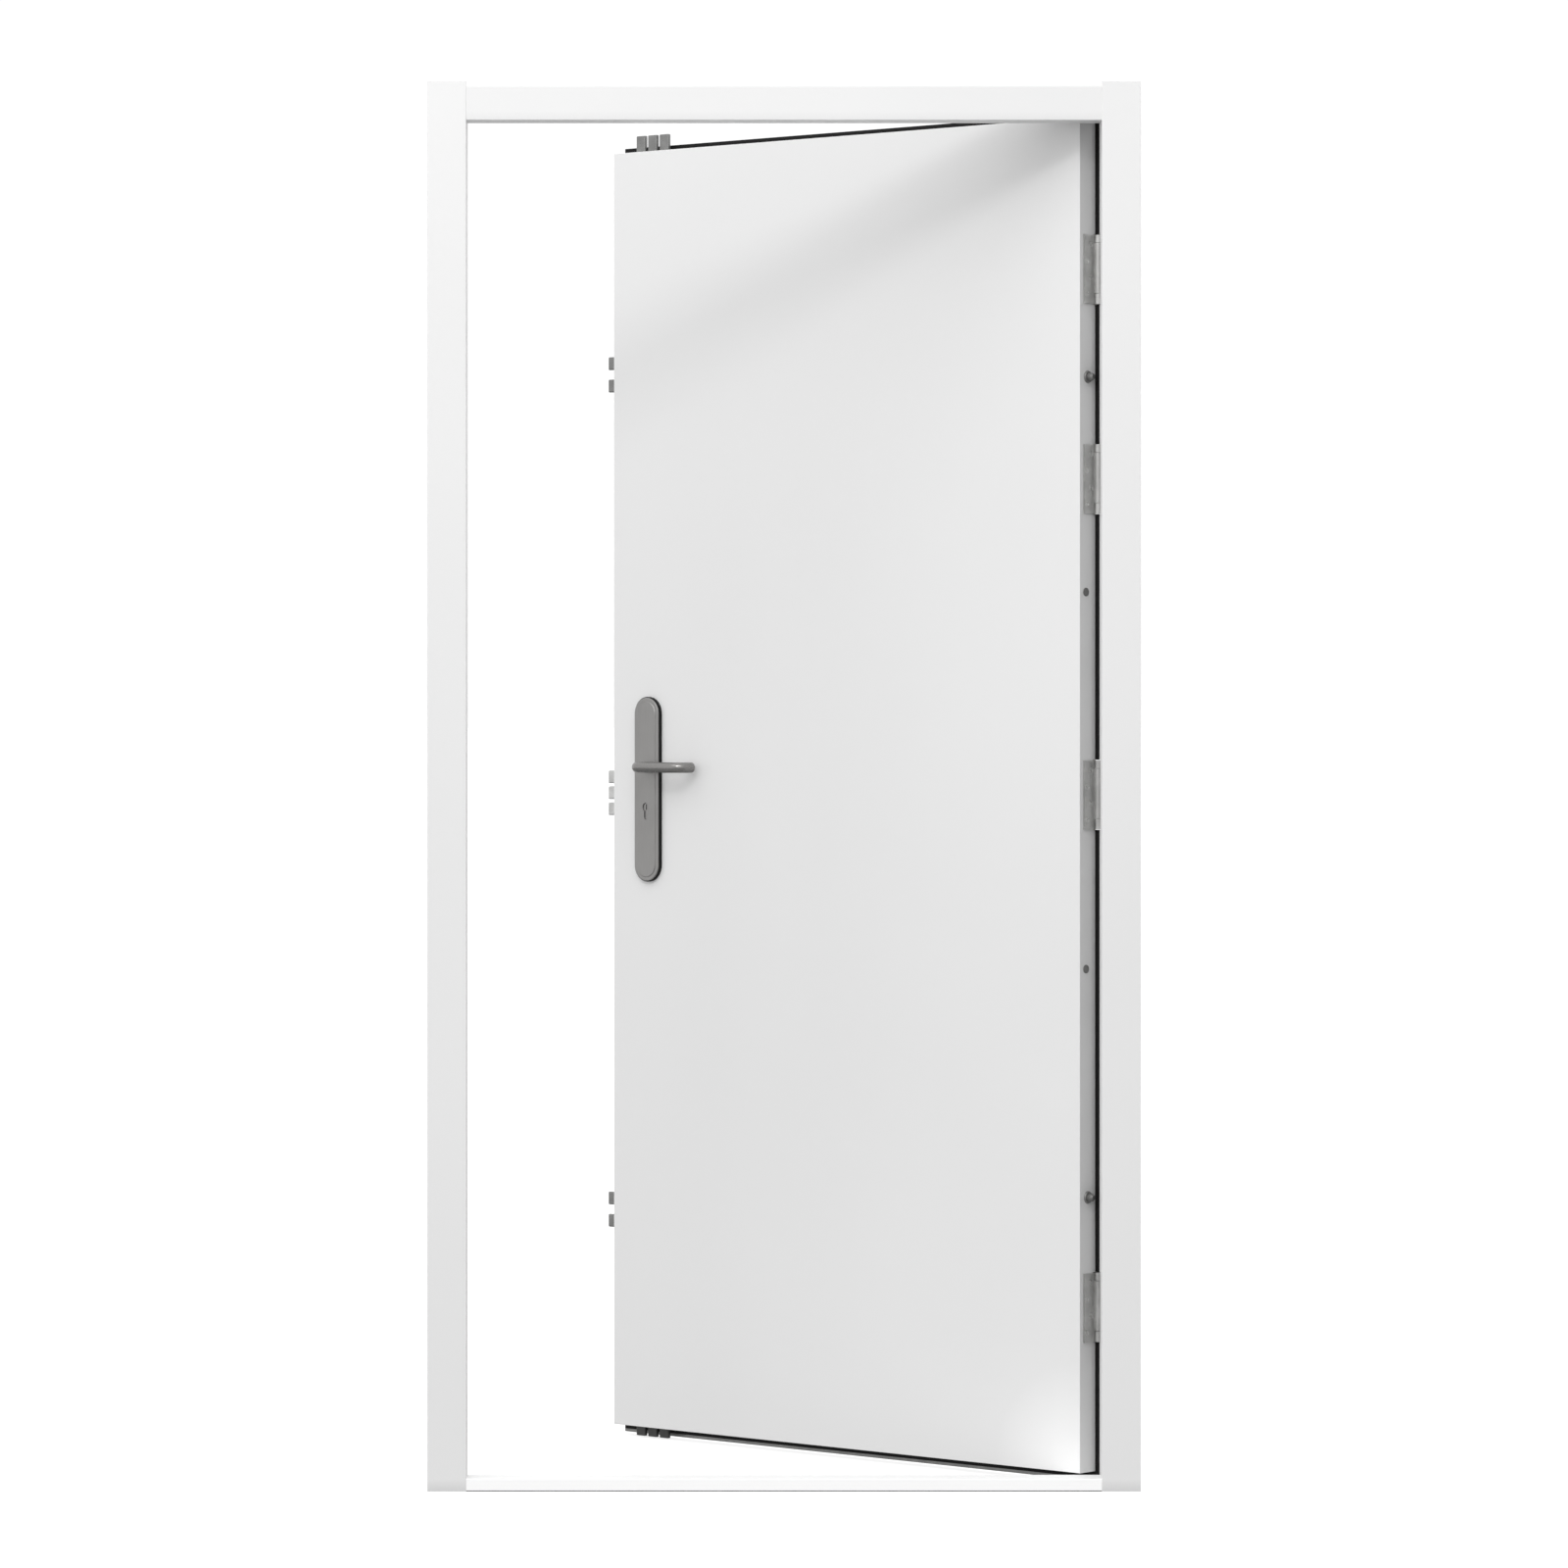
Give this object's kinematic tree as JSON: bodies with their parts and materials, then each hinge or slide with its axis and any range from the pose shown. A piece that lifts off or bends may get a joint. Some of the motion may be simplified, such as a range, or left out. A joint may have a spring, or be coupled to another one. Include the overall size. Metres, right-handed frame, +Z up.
{
  "type": "security door",
  "caption": "Flat steel entrance door standing open in its steel frame, hinged on the right, with thrown edge bolts, a lever handle on a long plate each side, a threshold and a lap seal.",
  "frame": {"origin": "centre of the underside of the threshold's rubber bed, mid width and mid depth of the frame", "axes": "+Z up, +X towards the hinge side, +Y the way the leaf opens, away from the outer face"},
  "size_m": [1.025, 0.7104, 2.025],
  "materials": {
    "frame_white": "smooth white powder coat",
    "leaf_white": "smooth white powder coat",
    "core_board": "dense mineral board, hidden",
    "seal_rubber": "matt",
    "zinc_steel": "plain zinc plated",
    "satin_steel": "satin",
    "plate_black": "matt"
  },
  "bodies": {
    "frame": {"jamb_lock_side": "frame_white", "jamb_hinge_side": "frame_white", "frame_head": "frame_white", "threshold": "frame_white", "threshold_bed": "seal_rubber", "keep_plates_side": "zinc_steel", "keep_plate_head": "zinc_steel", "keep_plate_threshold": "zinc_steel", "hinge_frame_plates": "zinc_steel", "hinge_frame_screws": "zinc_steel", "hinge_pins": "zinc_steel"},
    "leaf": {"leaf_outer_skin": "leaf_white", "leaf_inner_skin": "leaf_white", "leaf_core": "core_board", "leaf_seal": "seal_rubber", "drip_strip": "zinc_steel", "lock_faceplates": "zinc_steel", "dog_bolts": "zinc_steel", "edge_plugs": "zinc_steel", "hinge_leaf_plates": "zinc_steel", "hinge_leaf_screws": "zinc_steel", "outer_plate_base": "plate_black", "outer_handle_plate": "satin_steel", "inner_plate_base": "plate_black", "inner_handle_plate": "satin_steel", "lock_cylinder": "satin_steel"},
    "lever_set": {"outer_lever": "satin_steel", "inner_lever": "satin_steel", "spindle": "zinc_steel"},
    "centre_bolts": {"centre_side_bolts": "zinc_steel"},
    "upper_bolts": {"upper_side_bolts": "zinc_steel"},
    "lower_bolts": {"lower_side_bolts": "zinc_steel"},
    "top_pins": {"top_bolts": "zinc_steel"},
    "bottom_pins": {"bottom_bolts": "zinc_steel"}
  },
  "joints": [
    {"name": "leaf_swing", "type": "hinge", "parent": "frame", "child": "leaf", "pos_m": [0.4569, 0.0525, 0.999], "axis": [0, 0, -1], "range_deg": [-41.23, 58.77]},
    {"name": "lever_turn", "type": "hinge", "parent": "leaf", "child": "lever_set", "pos_m": [-0.19182, 0.59708, 1.033], "axis": [0.6591, 0.7521, 0], "range_deg": [0, 45], "stiffness_Nm_per_rad": 1.2, "springref_deg": -34.38},
    {"name": "bolt_throw", "type": "slide", "parent": "leaf", "child": "centre_bolts", "axis": [0.7521, -0.6591, 0], "range_m": [0, 0.026]},
    {"name": "upper_bolt_throw", "type": "slide", "parent": "leaf", "child": "upper_bolts", "axis": [0.7521, -0.6591, 0], "range_m": [0, 0.026]},
    {"name": "lower_bolt_throw", "type": "slide", "parent": "leaf", "child": "lower_bolts", "axis": [0.7521, -0.6591, 0], "range_m": [0, 0.026]},
    {"name": "top_pin_throw", "type": "slide", "parent": "leaf", "child": "top_pins", "axis": [0, 0, -1], "range_m": [0, 0.026]},
    {"name": "bottom_pin_throw", "type": "slide", "parent": "leaf", "child": "bottom_pins", "axis": [0, 0, 1], "range_m": [0, 0.016]}
  ],
  "couplings": [
    {"joint": "upper_bolt_throw", "follows": "bolt_throw", "ratio": 1},
    {"joint": "lower_bolt_throw", "follows": "bolt_throw", "ratio": 1},
    {"joint": "top_pin_throw", "follows": "bolt_throw", "ratio": 1},
    {"joint": "bottom_pin_throw", "follows": "bolt_throw", "ratio": 0.61538}
  ]
}
